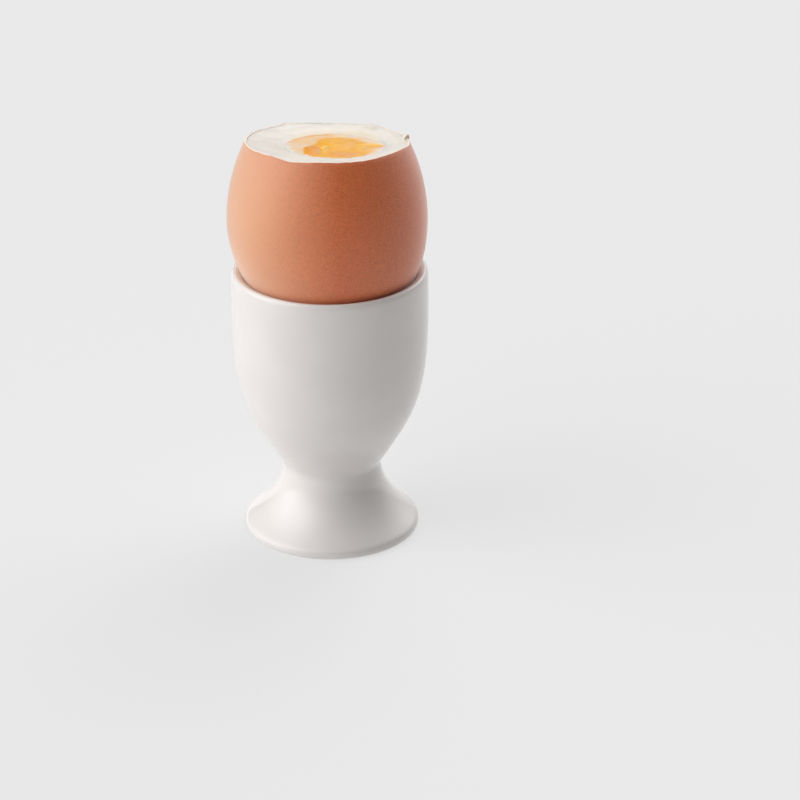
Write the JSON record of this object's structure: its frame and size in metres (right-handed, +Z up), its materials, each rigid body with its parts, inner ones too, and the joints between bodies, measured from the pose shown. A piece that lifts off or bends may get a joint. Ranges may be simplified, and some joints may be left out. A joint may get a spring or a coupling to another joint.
{
  "type": "boiled egg in egg cup",
  "caption": "Soft boiled hen's egg with its top cut off, standing in a footed white porcelain egg cup; it shows a pale white and a bare yolk.",
  "frame": {"origin": "on the cup's own axis, in the plane of its foot ring, where it meets the table", "axes": "+Z up along the cup's axis; the front, from which the cut is seen, is -Y; +X is to the right"},
  "size_m": [0.0455, 0.0453, 0.0964],
  "materials": {
    "porcelain": "white porcelain with a clear gloss glaze",
    "eggshell": "brown hen's eggshell, satin, with fine pores",
    "cooked_white": "set egg white, cut, moist and slightly translucent",
    "yolk": "soft set egg yolk, moist"
  },
  "bodies": {
    "root": {"egg_cup": "porcelain", "egg_shell": "eggshell", "egg_white": "cooked_white", "egg_yolk": "yolk"}
  },
  "joints": []
}
